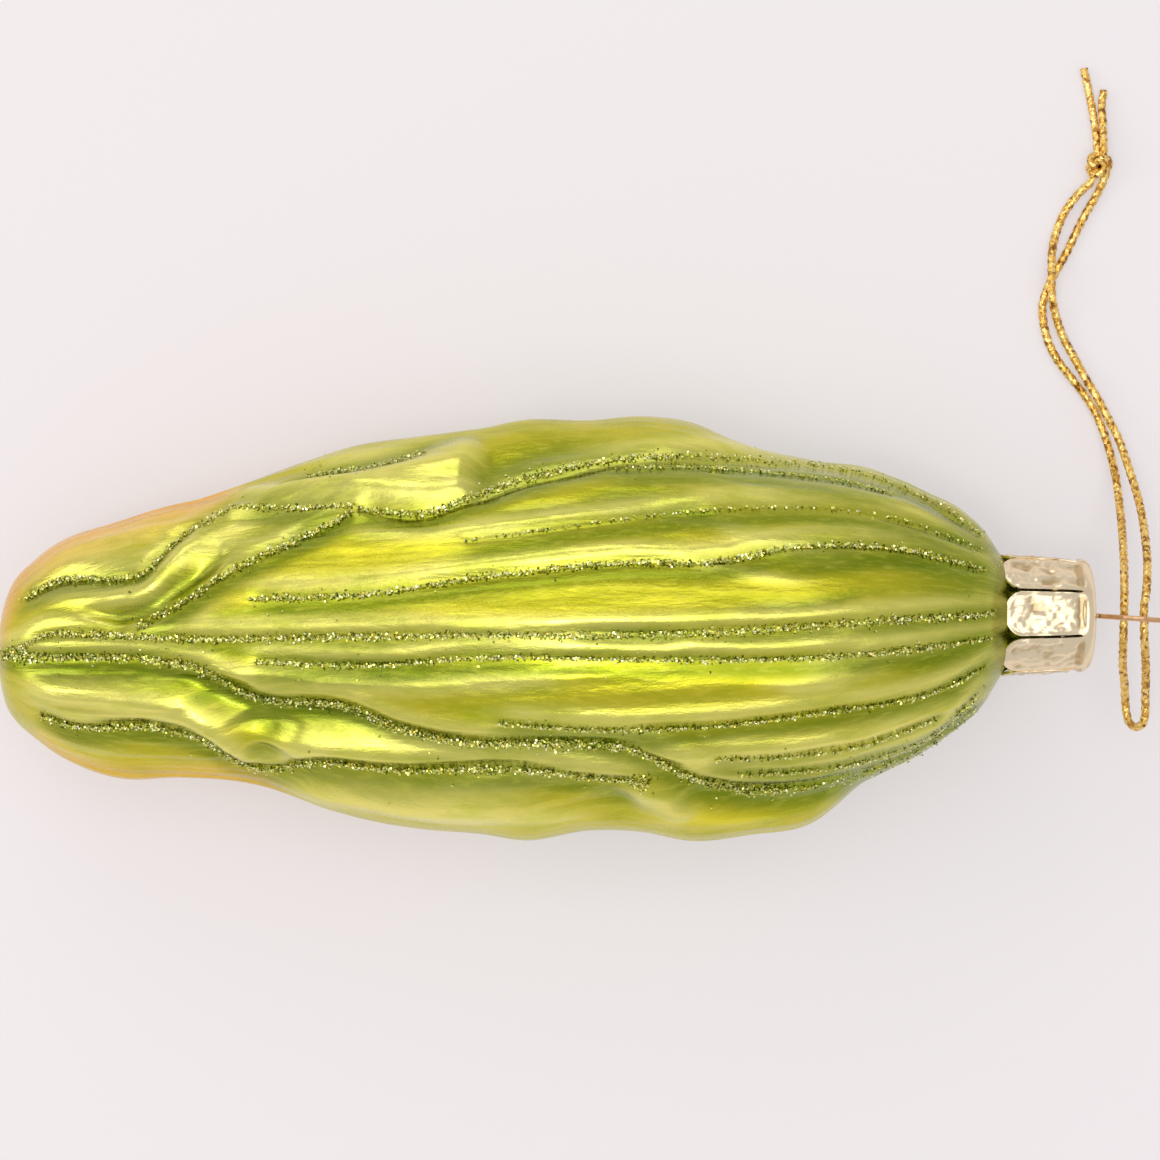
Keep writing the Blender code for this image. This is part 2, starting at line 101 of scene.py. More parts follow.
# ---------------------------------------------------------------- the gold cord
# One length of three-ply metallic thread, 1 mm thick, tied into a loop through the wire's
# eye.  It leaves the eye, bends back under the wire, runs out to the knot and returns.
ORIGIN = (68.35, -1.45)              # the frame's origin, in millimetres from the cob's tip
CORD_THICK = 1.0
CORD_TURN = 3.4                      # millimetres for one turn of the plies
PLIES = 3
RING_STEP = 0.2                      # between the rings of the thread's mesh
LOWEST = 0.02                        # the thread's underside above the paper
OUT_STRAND = ((133.1, -0.6, 16.95), (133.2, -2.4, 16.6), (133.6, -4.9, 15.0),
              (134.0, -7.4, 13.0), (134.2, -9.7, 11.5), (134.3, -11.5, 10.9), (134.2, -12.5, 10.6),
              (133.9, -13.1, 10.1), (133.5, -13.3, 9.3), (133.1, -13.1, 8.5),
              (132.8, -12.5, 7.9), (132.6, -11.5, 7.7), (132.4, -10.0, 8.1),
              (132.1, -8.2, 9.4), (131.6, -6.2, 11.2), (131.3, -3.8, 13.2), (131.2, -0.8, 14.4),
              (131.3, 2.4, 14.2), (131.6, 5.4, 12.3), (132.0, 9.0, 8.9), (132.3, 13.0, 4.9),
              (132.1, 17.2, 2.4), (131.2, 21.4, 1.0), (130.1, 24.3, 0.6), (128.7, 26.6, 0.5),
              (127.2, 28.5, 0.5), (125.8, 30.3, 0.5), (124.6, 32.4, 0.5), (123.9, 34.8, 0.5),
              (123.7, 37.2, 0.5), (124.3, 39.4, 0.5), (125.3, 41.4, 0.5), (126.6, 43.7, 0.5),
              (127.7, 46.0, 0.5), (128.8, 48.2, 0.5), (129.9, 50.1, 0.5), (130.8, 51.9, 0.7))
IN_KNOT = ((131.2, 53.6, 1.5), (130.3, 54.6, 2.2), (129.6, 53.9, 1.8))
BACK_STRAND = ((129.6, 52.5, 1.2), (128.0, 50.8, 1.0), (126.5, 48.8, 0.7), (125.4, 46.3, 0.6),
               (124.8, 43.9, 1.1), (124.6, 41.2, 2.0), (124.6, 38.6, 2.0), (125.3, 35.7, 1.1),
               (126.2, 33.4, 0.7), (127.5, 30.9, 0.9), (128.9, 28.2, 1.4), (130.1, 26.1, 1.8),
               (131.2, 23.9, 2.1), (132.4, 21.4, 2.6), (133.4, 18.0, 3.9), (134.3, 13.4, 6.8),
               (134.3, 9.2, 10.9), (133.9, 5.4, 14.7), (133.4, 2.4, 16.6), (133.1, 0.8, 16.95),
               (133.1, -0.35, 17.0))


def place(points):
    """Millimetres from the tip, the cap's axis and the table, to metres in the frame."""
    points = np.asarray(points, float)
    return (points - np.array((ORIGIN[0], ORIGIN[1], 0.0))) * MM


def smooth(keys, values, at):
    """Cubic curve through (keys, values), read at each place."""
    keys, values = np.asarray(keys, float), np.asarray(values, float)
    at = np.clip(at, keys[0], keys[-1])
    slopes = np.gradient(values, keys)
    i = np.clip(np.searchsorted(keys, at) - 1, 0, len(keys) - 2)
    span = keys[i + 1] - keys[i]
    t = (at - keys[i]) / span
    return ((2 * t**3 - 3 * t**2 + 1) * values[i] + (t**3 - 2 * t**2 + t) * span * slopes[i]
            + (3 * t**2 - 2 * t**3) * values[i + 1] + (t**3 - t**2) * span * slopes[i + 1])


def even_points(points, step):
    """Points at equal steps along the smooth curve through the given ones."""
    points = np.array(points, float)
    lengths = np.concatenate(((0,), np.cumsum(np.linalg.norm(np.diff(points, axis=0), axis=1))))
    at = np.linspace(0.0, lengths[-1], max(2, int(round(lengths[-1] / step)) + 1))
    return np.column_stack([smooth(lengths, points[:, axis], at) for axis in range(3)])


def new_piece(name, points, faces, finish, smooth_shading=True):
    mesh = bpy.data.meshes.new(name)
    mesh.from_pydata([tuple(p) for p in points], [], faces)
    mesh.validate()
    if smooth_shading:
        mesh.shade_smooth()
    mesh.materials.append(finish)
    piece = bpy.data.objects.new(name, mesh)
    scene.collection.objects.link(piece)
    return piece


def thread(name, route, thick, finish):
    """Twisted thread along a route in millimetres: lobed rings joined into a closed tube."""
    line = even_points(route, RING_STEP)
    ahead = np.gradient(line, axis=0)
    ahead /= np.linalg.norm(ahead, axis=1)[:, None]
    sides = 6 * PLIES
    up = np.array((0.0, 0.0, 1.0)) - ahead[0] * ahead[0][2]
    rings = []
    for i, (centre, along) in enumerate(zip(line, ahead)):
        up = up - along * np.dot(up, along)
        up /= np.linalg.norm(up)
        across = np.cross(along, up)
        twist = 2 * math.pi * i * RING_STEP / CORD_TURN
        turn = np.linspace(0, 2 * math.pi, sides, endpoint=False)
        lobe = np.abs(np.cos(PLIES / 2 * (turn - twist)))
        grain = 0.03 * np.sin(9.0 * turn + 2.9 * i)
        radius = thick / 2 * (0.80 + 0.24 * lobe + grain)
        rings.append(centre + radius[:, None] * (np.cos(turn)[:, None] * up
                                                 + np.sin(turn)[:, None] * across))
    points = np.concatenate(rings)
    points[:, 2] = np.maximum(points[:, 2], LOWEST)
    faces = []
    for ring in range(len(line) - 1):
        for k in range(sides):
            a, b = ring * sides + k, ring * sides + (k + 1) % sides
            faces.append((a, a + sides, b + sides, b))
    faces.append(tuple(range(sides)))
    last = (len(line) - 1) * sides
    faces.append(tuple(last + k for k in reversed(range(sides))))
    return new_piece(name, place(points), faces, finish)


def gold_thread():
    """Foil-wrapped thread: bright gold with orange and brown in random patches."""
    made = bpy.data.materials.new("gold_thread")
    made.use_nodes = True
    nodes, links = made.node_tree.nodes, made.node_tree.links
    shader = nodes["Principled BSDF"]
    where = nodes.new("ShaderNodeTexCoord")
    foil = nodes.new("ShaderNodeTexVoronoi")
    foil.inputs["Scale"].default_value = 2600.0
    links.new(where.outputs["Object"], foil.inputs["Vector"])
    patches = nodes.new("ShaderNodeTexNoise")
    patches.inputs["Scale"].default_value = 900.0
    patches.inputs["Detail"].default_value = 3.0
    links.new(where.outputs["Object"], patches.inputs["Vector"])
    tone = nodes.new("ShaderNodeMath")
    tone.operation = "ADD"
    tone.use_clamp = True
    split = nodes.new("ShaderNodeSeparateColor")
    links.new(foil.outputs["Color"], split.inputs["Color"])
    links.new(split.outputs["Red"], tone.inputs[0])
    shift = nodes.new("ShaderNodeMath")
    shift.operation = "SUBTRACT"
    links.new(patches.outputs["Fac"], shift.inputs[0])
    shift.inputs[1].default_value = 0.5
    links.new(shift.outputs[0], tone.inputs[1])
    ramp_node = nodes.new("ShaderNodeValToRGB")
    ramp_node.color_ramp.elements[0].color = (0.30, 0.13, 0.03, 1)
    ramp_node.color_ramp.elements[1].color = (1.0, 0.76, 0.28, 1)
    middle = ramp_node.color_ramp.elements.new(0.4)
    middle.color = (0.80, 0.46, 0.09, 1)
    links.new(tone.outputs[0], ramp_node.inputs["Fac"])
    links.new(ramp_node.outputs["Color"], shader.inputs["Base Color"])
    shader.inputs["Metallic"].default_value = 0.9
    shader.inputs["Roughness"].default_value = 0.3
    bump = nodes.new("ShaderNodeBump")
    bump.inputs["Strength"].default_value = 0.8
    bump.inputs["Distance"].default_value = 0.0001
    links.new(foil.outputs["Distance"], bump.inputs["Height"])
    links.new(bump.outputs["Normal"], shader.inputs["Normal"])
    return made


thread_gold = gold_thread()
cord_route = OUT_STRAND + IN_KNOT + BACK_STRAND
cord = thread("gold_cord", cord_route, CORD_THICK, thread_gold)
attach(cord, "root")
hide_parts("cord_strand_a", "cord_strand_b")

KNOT = (130.3, 54.2, 1.7)
around_knot = np.linspace(0, 4 * math.pi, 49)
wrap = 0.85 + 0.35 * np.cos(1.5 * around_knot)      # radius of the thread's overhand turns
knot_route = np.column_stack((KNOT[0] + 1.05 * wrap * np.cos(around_knot),
                              KNOT[1] + wrap * np.sin(around_knot),
                              KNOT[2] - 0.1 + 0.6 * np.sin(1.5 * around_knot)))
knot = thread("cord_knot_wrap", knot_route, 0.98, thread_gold)
tails = []
for name, node, route in (
        ("cord_tail_long", "cord_tail_a", ((130.2, 55.2, 1.4), (130.2, 57.0, 1.0),
                                           (130.0, 59.2, 0.7), (129.5, 62.2, 0.5),
                                           (128.7, 66.0, 0.5))),
        ("cord_tail_short", "cord_tail_b", ((130.9, 55.3, 1.9), (130.9, 57.4, 1.6),
                                            (130.9, 59.6, 1.2), (130.8, 61.4, 0.9),
                                            (131.1, 63.3, 0.7)))):
    tail = thread(name, route, 0.95, thread_gold)
    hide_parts(node)
    tails.append(tail)
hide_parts("cord_knot")
for piece in [knot] + tails:
    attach(piece, "root")

# ---------------------------------------------------------------- the blown glass cob
# A bubble of clear glass blown into a carved mould, silvered inside and lacquered outside.
# The husk leaves lie on top and fold back at both sides of the kernels underneath.
BODY_LENGTH = 122.3
KERNEL_ROW_ANGLE = 15.0
KERNELS_IN_ROW = 22
KERNEL_DEPTH = 0.9
AXIS_HEIGHT = 19.5                   # the neck's and the cap's axis above the table
BORE_BOTTOM = (110.0, 0.0, AXIS_HEIGHT)
STREAK_LENGTH = 20.0                 # one unit of the brushwork, along the body

# Distance from the tip, +Y edge, -Y edge, husk radius, centre y, centre z
SECTIONS = np.array((
    (0.0, -4.2, -4.2, 0.0, -4.2, 14.0),
    (0.9, 2.3, -10.9, 5.8, -4.2, 14.0),
    (1.9, 4.3, -12.4, 7.5, -4.1, 14.1),
    (3.9, 6.2, -14.2, 9.3, -4.0, 14.2),
    (7.9, 8.5, -16.9, 11.5, -3.8, 14.5),
    (14.8, 10.9, -19.1, 13.5, -3.6, 15.0),
    (21.7, 12.9, -18.9, 14.9, -3.1, 15.6),
    (28.6, 15.2, -19.4, 15.9, -2.6, 16.2),
    (35.5, 17.7, -21.1, 16.7, -2.2, 16.8),
    (42.4, 19.8, -23.5, 17.6, -1.9, 17.3),
    (49.3, 20.7, -24.7, 18.4, -1.8, 18.05),
    (56.2, 21.6, -25.2, 19.1, -1.7, 18.75),
    (61.5, 22.6, -25.9, 19.6, -1.6, 19.25),
    (69.0, 22.5, -24.7, 20.0, -1.5, 19.65),
    (75.0, 22.9, -24.9, 20.1, -1.5, 19.7),
    (80.4, 22.2, -25.9, 20.1, -1.4, 19.75),
    (87.2, 19.4, -25.2, 19.8, -1.3, 19.6),
    (94.2, 18.1, -23.9, 19.0, -1.1, 19.6),
    (101.0, 17.0, -19.1, 17.4, -0.9, 19.5),
    (108.0, 14.1, -15.5, 14.6, -0.6, 19.5),
    (112.0, 11.8, -12.4, 12.0, -0.4, 19.5),
    (114.3, 9.6, -9.8, 9.6, -0.1, 19.5),
    (115.3, 8.1, -8.1, 8.1, 0.0, 19.5),
    (116.3, 6.6, -6.6, 6.6, 0.0, 19.5),
    (118.3, 6.1, -6.1, 6.1, 0.0, 19.5),
    (BODY_LENGTH, 5.9, -5.9, 5.9, 0.0, 19.5),
))
KERNEL_FIELD = np.array(((0, 80), (13, 76), (29, 68), (46, 62), (63, 56), (77, 44),
                         (89, 24), (97, 0), (BODY_LENGTH, 0)), float)

# Ribs and leaf edges that carry glitter: name, groove depth, glitter width, points
GLITTER = (
    ("midrib", 0.35, 1.1, ((0.6, -4.3), (4.3, -3.5), (6.4, -2.4), (12, -2.1), (23, -2.5),
                           (48, -2.1), (81, -1.7), (102, -0.4), (114.2, 0.3))),
    ("branch", 0.4, 1.1, ((18.0, -1.2), (23, 1.4), (28.6, 5.1), (34.3, 7.8), (39.5, 10.3),
                          (42.0, 11.6))),
    ("leaf_edge", 0.5, 1.3, ((1.6, -4.6), (5.6, -4.7), (19.8, -4.9), (25, -5.8),
                             (31.4, -9.0), (41.5, -10.0), (48, -12.6), (53.7, -13.8),
                             (65, -14.1), (73.4, -14.7),
                             (80.8, -18.3), (92.3, -19.4), (100.2, -17.8), (108, -14.6),
                             (113, -10.4))),
    ("rib_low", 0.4, 0.8, ((31.5, -5.0), (44.6, -5.4), (53.8, -4.6), (78, -4.7), (90, -4.6),
                           (101, -3.9), (113.8, -2.5))),
    ("rib_high", 0.45, 0.9, ((30.8, 2.0), (43, 2.4), (58.8, 4.7), (73.4, 6.0), (82, 6.0),
                             (91.6, 7.7), (104, 7.4), (113.3, 5.1))),
    ("rib_upper", 0.4, 0.5, ((54.8, 8.4), (73.4, 10.9), (84.7, 12.0), (102.8, 11.0),
                             (113.3, 7.4))),
    ("rib_side", 0.25, 0.4, ((71.6, 16.6), (82.4, 16.6), (90, 16.0), (98, 14.9), (103, 13.8))),
    ("fold_edge", 0.9, 1.0, ((42.8, 12.0), (50.8, 11.7), (55.8, 13.5), (67.8, 17.0),
                             (80.4, 18.0), (88.5, 17.7), (98.6, 16.6), (107.2, 13.5),
                             (113.6, 9.0))),
    ("fold_inner", 0.4, 0.8, ((28.4, 12.5), (35.4, 12.2), (42.4, 12.5))),
    ("side_leaf", 0.6, 0.9, ((3.9, 1.9), (7.8, 3.9), (14.7, 4.2), (17.8, 4.6), (22.2, 8.6),
                             (28.2, 12.4))),
    ("side_rib", 0.35, 0.8, ((36.5, 15.8), (45, 17.1), (50.2, 18.6))),
    ("low_leaf", 0.5, 1.0, ((5.8, -11.4), (9, -12.5), (19.5, -12.6), (25.2, -14.1),
                            (29.2, -16.9), (31.5, -17.5), (38.3, -16.5), (45.3, -17.2),
                            (61.4, -17.2), (73.8, -18.5))),
    ("rib_lower", 0.4, 0.6, ((58.2, -11.8), (72, -12.5), (77.5, -12.4), (94.9, -10.5),
                             (108.7, -7.9), (113.4, -5.6))),
    ("rib_low_side", 0.3, 0.45, ((82.2, -15.8), (89, -15.7), (99.3, -14.4), (108.6, -11.2))),
    ("rib_low_edge", 0.3, 0.5, ((85.4, -17.6), (91.6, -17.4), (100.6, -16.1), (108.5, -12.9),
                                (112.6, -8.8))),
)

# Folds of the leaves: height (a valley is negative), half-width, fade in, fade out, points
FOLDS = (
    (1.0, 1.5, 6, 8, ((11, 2.0), (15.8, 1.9), (19.3, 3.0), (21.7, 5.8), (25.7, 10.3),
                      (29.1, 12.0), (39, 14))),
    (-1.7, 1.4, 3, 4, ((13.5, 0.4), (17.1, 0.3), (20.0, 1.5), (22.3, 3.2), (27.5, 6.6))),
    (0.8, 2.4, 4, 5, ((6, 7.0), (14, 8.0), (22, 11.4))),
    (1.9, 2.3, 9, 2.2, ((35, 12.9), (45.3, 14.6), (50.9, 16.0), (56.2, 17.6))),
    (-1.0, 2.4, 2.0, 8, ((55.6, 15.4), (61, 17.6), (71, 19.2))),
    (-1.3, 1.7, 5, 6, ((23, -7.0), (31.4, -10.9), (41.5, -12.4), (48, -14.4), (53.7, -15.4),
                       (71, -16.0))),
    (0.9, 1.6, 3, 5, ((33.5, -14.3), (42.1, -14.4), (49.9, -15.2), (58.9, -15.8),
                      (72, -16.9))),
    (-0.8, 1.3, 3, 4, ((6, -6.4), (15, -6.5), (23, -7.2))),
    (1.0, 1.5, 3, 3, ((5.6, -8.5), (14.7, -9.0), (19.4, -9.6), (23.9, -11.0), (26.6, -12.8),
                      (30, -15.6))),
    (-0.9, 1.0, 2.0, 2.0, ((29.4, -12.2), (35.2, -12.7))),
    (-0.8, 0.9, 2.0, 2.0, ((30.3, -15.0), (34.2, -15.4))),
    (1.1, 2.2, 4, 6, ((35, -19.2), (47, -20.4), (61, -20.9))),
    (-0.9, 2.0, 4, 4, ((69, -21.0), (77, -21.0))),
    (1.2, 1.8, 2, 2, ((73, -19.6), (80, -21.4))),
    (-0.8, 1.4, 3, 4, ((80, -20.2), (92, -21.4), (100, -19.6))),
)

# Lacquer tones; cream also serves as painted highlight and green as painted shade.
TONES = {"cream": (0.87, 0.81, 0.20), "white": (0.95, 0.91, 0.42), "lemon": (0.84, 0.75, 0.03),
         "lime": (0.53, 0.58, 0.012), "green": (0.20, 0.27, 0.004), "olive": (0.40, 0.38, 0.025),
         "tan": (0.64, 0.56, 0.19), "amber": (0.86, 0.50, 0.03),
         "orange": (1.0, 0.47, 0.07)}


def ramp(low, high, at):
    t = np.clip((at - low) / (high - low), 0.0, 1.0)
    return t * t * (3.0 - 2.0 * t)


def section(x):
    """Edges, husk radius and centre of the body's section, at distances from the tip."""
    keys = np.sqrt(SECTIONS[:, 0])        # the square root rounds the blunt tip
    at = np.sqrt(np.clip(x, 0.0, BODY_LENGTH))
    return [smooth(keys, SECTIONS[:, column], at) for column in range(1, 6)]


def band(points, half_width, fade_in, fade_out, x, y):
    """Bell-shaped band along a line, 1 on the line and fading at both ends."""
    line_x, line_y = np.array(points, float).T
    middle = smooth(line_x, line_y, x)
    slope = smooth(line_x, line_y, x + 0.5) - smooth(line_x, line_y, x - 0.5)
    away = (y - middle) / np.sqrt(1.0 + slope**2)
    ends = ramp(line_x[0] - fade_in, line_x[0] + fade_in, x)
    ends = ends * (1.0 - ramp(line_x[-1] - fade_out, line_x[-1] + fade_out, x))
    return ends * np.exp(-(away / (half_width * (0.45 + 0.55 * ends))) ** 2)


def strokes_and_painted_light(count, dice):
    """Lacquer strokes: tone, lift of the glass, half-width, fade in, fade out, points. Cream strokes
    are partly painted highlights, green ones partly painted shade.
    """
    # Three listed cream strokes: painted highlights, with no lift of the glass.
    strokes = [("cream", 0, 2.4, 3, 5, ((4, -8), (12, -8.6), (20, -9.8), (26, -12))),
               ("cream", 0, 1.7, 2, 4, ((6, 3.2), (12, 3.4), (17, 3.2))),
               ("cream", 0, 1.7, 3, 7, ((24, -0.4), (35, 0.3), (52, 0.8)))]
    # Random lacquer streaks. The light ones are raised and act as painted highlight; the dark ones
    # are sunk and act as painted shade.
    tones = ("cream", "lemon", "lime", "green", "olive")
    lifts = (0.2, 0.1, -0.05, -0.2, -0.1)
    for kind in dice.choice(5, count, p=(0.36, 0.16, 0.20, 0.16, 0.12)):
        start = dice.uniform(4, 96)
        x = np.linspace(start, min(start + dice.uniform(8, 30), 111), 4)
        high, low = section(x)[:2]
        lane = dice.uniform(-0.9, 0.9) + dice.normal(0, 0.03) * np.linspace(-1, 1, 4)
        y = (high + low + (high - low) * lane) / 2
        strokes.append((tones[kind], lifts[kind], dice.uniform(0.6, 1.2), 3, 5,
                        np.column_stack((x, y))))
    # Beside each glitter line: a cream painted highlight on one side and a green painted shadow on
    # the other.
    for *_, points in GLITTER:
        for tone, side, lift in (("cream", 1.5, 0.25), ("green", -1.3, -0.1)):
            beside = np.array(points, float) + (0.0, side)
            strokes.append((tone, lift, 0.8, 4, 8, beside))
    # Each fold also gets colour: a cream painted highlight on a raised fold, green painted shade in a
    # valley.
    for lift, half_width, fade_in, fade_out, points in FOLDS:
        tone = "cream" if lift > 0 else "green"
        strokes.append((tone, 0, 0.7 * half_width, fade_in, fade_out, points))
    rim = np.array([(x, section(np.array(x))[0]) for x in (0.5, 2.6, 7, 11, 16, 22, 28)], float)
    strokes.append(("orange", 0, 2.3, 1, 3, rim))
    rim = np.array([(x, section(np.array(x))[1]) for x in (4.5, 8, 11, 17, 24, 28, 33)], float)
    strokes.append(("amber", 0, 1.6, 2, 4, rim))
    return strokes


STROKES = strokes_and_painted_light(70, np.random.default_rng(5))


def leaf_height(x, y):
    """Lift of the husk over its round section: grooved ribs, folds and brushed ridges."""
    height = np.zeros_like(x)
    for _, depth, _, points in GLITTER:
        height -= 0.6 * depth * band(points, 1.3, 2.0, 2.0, x, y)
        height -= 0.5 * depth * band(points, 0.5, 1.0, 1.0, x, y)
    for lift, half_width, fade_in, fade_out, points in FOLDS:
        height += lift * band(points, half_width, fade_in, fade_out, x, y)
    for _, lift, half_width, fade_in, fade_out, points in STROKES:
        height += lift * band(points, half_width, fade_in, fade_out, x, y)
    return height * ramp(0.5, 6.0, x)


def striations(x, angle):
    """Fine lengthwise waves left by the mould's carving."""
    height = np.zeros_like(x)
    for turns, wander, reach, lift in ((31, 1.6, 17.0, 0.07), (47, 2.4, 11.0, 0.05),
                                       (83, 3.1, 7.0, 0.03)):
        patch = 0.6 + 0.4 * np.sin(x / reach + 0.31 * turns + 2.0 * angle)
        height += lift * patch * np.sin(turns * angle + wander * np.sin(x / reach + turns))
    return height * ramp(2.0, 12.0, x)


def kernel_height(x, along_body, down):
    """Lift of the kernels, how far a point is inside their field, and the grooves' shade."""
    field = np.interp(x, KERNEL_FIELD[:, 0], KERNEL_FIELD[:, 1])
    inside = ramp(-2.0, 2.5, field - np.abs(down))
    row = (down / KERNEL_ROW_ANGLE) % 1.0
    seat = (along_body * KERNELS_IN_ROW) % 1.0
    across, lengthwise = np.abs(2.0 * row - 1.0), np.abs(2.0 * seat - 1.0)
    crown = (across**5 + lengthwise**5) ** 0.2
    kernels = -KERNEL_DEPTH * ramp(0.35, 1.0, crown) - 0.12 * np.minimum(crown, 1.0) ** 2
    rim = 1.0 * ramp(-9.0, -1.0, field - np.abs(down)) * (1.0 - inside)
    height = inside * kernels + rim * ramp(4.0, 12.0, x) * (1.0 - ramp(81.0, 97.0, x))
    return height, inside, np.clip(crown, 0.0, 1.0)


def distance_from_tip(along_body):
    """Rings of the mesh, packed closer together round the blunt tip."""
    blunt = 0.08
    reach = (np.hypot(along_body, blunt) - blunt) / (math.hypot(1, blunt) - blunt)
    return BODY_LENGTH * reach


def blown_shape(along_body, angle):
    """Points of the glass in millimetres, and what the painter needs to know there."""
    x = distance_from_tip(along_body)
    edge_high, edge_low, radius, centre_y, centre_z = section(x)
    side = np.sin(angle)
    edge = np.where(side > 0, edge_high - centre_y, centre_y - edge_low)
    flap = np.exp(-(np.degrees(np.arccos(np.abs(side))) / 32.0) ** 2)
    half_width = radius + (edge - radius) * flap
    down = np.degrees(angle) % 360.0 - 180.0
    upper = ramp(-0.25, 0.1, np.cos(angle))
    y = centre_y + half_width * side
    husk = leaf_height(x, y) + striations(x, angle)
    kernels, inside, crown = kernel_height(x, along_body, down)
    height = upper * husk + (1.0 - upper) * kernels
    height = height * (1.0 - ramp(110.5, 114.3, x))
    z = np.maximum(centre_z + (radius + height) * np.cos(angle), 0.0)
    shape = np.column_stack((x, y + height * side, z))
    return shape, y, upper, inside * (1.0 - upper), crown


def lacquer_and_painted_light_colours(x, y, upper, field, crown):
    """Lacquer brushed over the silver: yellow-green leaves and gold kernels, with painted highlights,
    green painted shade in the hollows and amber painted shade between the kernels.
    """
    leaf = np.array((0.59, 0.54, 0.022))
    green = np.array(TONES["green"])
    gold = np.array((0.95, 0.62, 0.05))
    amber = np.array(TONES["amber"])
    # Green along the glitter lines: partly the green seen between the flakes, partly painted shade in
    # the grooves.
    near_line = np.zeros_like(x)
    for _, _, width, points in GLITTER:
        near_line = np.maximum(near_line, band(points, 0.5 + 0.6 * width, 1.0, 1.0, x, y))
    husk = leaf + (green - leaf) * (0.75 * ramp(96.0, 113.0, x))[:, None]
    # Lay on the strokes with their painted highlights and painted shade.
    for tone, _, half_width, fade_in, fade_out, points in STROKES:
        cover = 0.8 * band(points, 1.2 * half_width, fade_in, fade_out, x, y)
        husk = husk + (np.array(TONES[tone]) - husk) * cover[:, None]
    husk = husk + (green - husk) * (0.45 * near_line * upper)[:, None]
    # Amber painted shade in the grooves between the kernels.
    kernel = gold + (amber - gold) * ramp(0.55, 1.0, crown)[:, None]
    edge_gold = 0.9 * ramp(1.0, 0.5, upper) * ramp(60.0, 30.0, x)
    husk = husk + (amber - husk) * edge_gold[:, None]
    return husk + (kernel - husk) * field[:, None]


def silvered_lacquer():
    """Mirror silver seen through streaky lacquer, under a thin clear gloss. The lacquer's colour
    attribute also holds painted highlights and painted shade.
    """
    made = bpy.data.materials.new("silvered_lacquer")
    made.use_nodes = True
    nodes, links = made.node_tree.nodes, made.node_tree.links
    shader = nodes["Principled BSDF"]
    where = nodes.new("ShaderNodeUVMap")
    where.uv_map = "brushwork"
    paint = nodes.new("ShaderNodeAttribute")
    paint.attribute_name = "lacquer_and_painted_light"

    def streaks(scale_x, scale_y, detail):
        mapping = nodes.new("ShaderNodeMapping")
        mapping.inputs["Scale"].default_value = (scale_x, scale_y, 1.0)
        links.new(where.outputs["UV"], mapping.inputs["Vector"])
        cloud = nodes.new("ShaderNodeTexNoise")
        cloud.inputs["Scale"].default_value = 1.0
        cloud.inputs["Detail"].default_value = detail
        cloud.inputs["Roughness"].default_value = 0.6
        links.new(mapping.outputs["Vector"], cloud.inputs["Vector"])
        return cloud.outputs["Fac"]

    def mixed(kind, factor, colour_a, colour_b):
        mix = nodes.new("ShaderNodeMix")
        mix.data_type = "RGBA"
        mix.blend_type = kind
        if isinstance(factor, float):
            mix.inputs["Factor"].default_value = factor
        else:
            links.new(factor, mix.inputs["Factor"])
        for socket, value in ((mix.inputs["A"], colour_a), (mix.inputs["B"], colour_b)):
            if isinstance(value, tuple):
                socket.default_value = value
            else:
                links.new(value, socket)
        return mix.outputs["Result"]

    def ranged(value, low, high, to_low, to_high):
        change = nodes.new("ShaderNodeMapRange")
        links.new(value, change.inputs["Value"])
        for label, number in (("From Min", low), ("From Max", high),
                              ("To Min", to_low), ("To Max", to_high)):
            change.inputs[label].default_value = number
        return change.outputs["Result"]

    broad = streaks(3.0, 26.0, 3.0)
    fine = streaks(9.0, 110.0, 4.0)
    tone = mixed("MULTIPLY", ranged(broad, 0.45, 0.66, 0.0, 0.6), paint.outputs["Color"],
                 (0.70, 0.80, 0.30, 1.0))
    tone = mixed("MIX", ranged(fine, 0.50, 0.75, 0.0, 0.30), tone, (0.88, 0.82, 0.11, 1.0))
    links.new(tone, shader.inputs["Base Color"])
    shader.inputs["Metallic"].default_value = 0.985
    links.new(ranged(fine, 0.3, 0.7, 0.2, 0.34), shader.inputs["Roughness"])
    shader.inputs["Coat Weight"].default_value = 0.22
    shader.inputs["Coat Roughness"].default_value = 0.09
    bump = nodes.new("ShaderNodeBump")
    bump.inputs["Strength"].default_value = 0.35
    bump.inputs["Distance"].default_value = 0.0002
    links.new(fine, bump.inputs["Height"])
    links.new(bump.outputs["Normal"], shader.inputs["Normal"])
    return made


COLUMNS, RINGS = 300, 300
bpy.ops.object.select_all(action="DESELECT")
bpy.ops.mesh.primitive_uv_sphere_add(segments=COLUMNS, ring_count=RINGS, radius=1.0)
cob = bpy.context.object
cob.name = "blown_cob"
sphere = np.array([v.co for v in cob.data.vertices])
along_body = np.arccos(np.clip(sphere[:, 2], -1.0, 1.0)) / math.pi * RINGS / (RINGS - 1)
around_body = np.arctan2(sphere[:, 1], sphere[:, 0])
shape, plan_y, upper, field, crown = blown_shape(np.clip(along_body, 0, 1), around_body)
shape[np.argmin(sphere[:, 2])] = BORE_BOTTOM        # the far pole, pushed back into the neck
cob.data.vertices.foreach_set("co", place(shape).astype(np.float32).ravel())
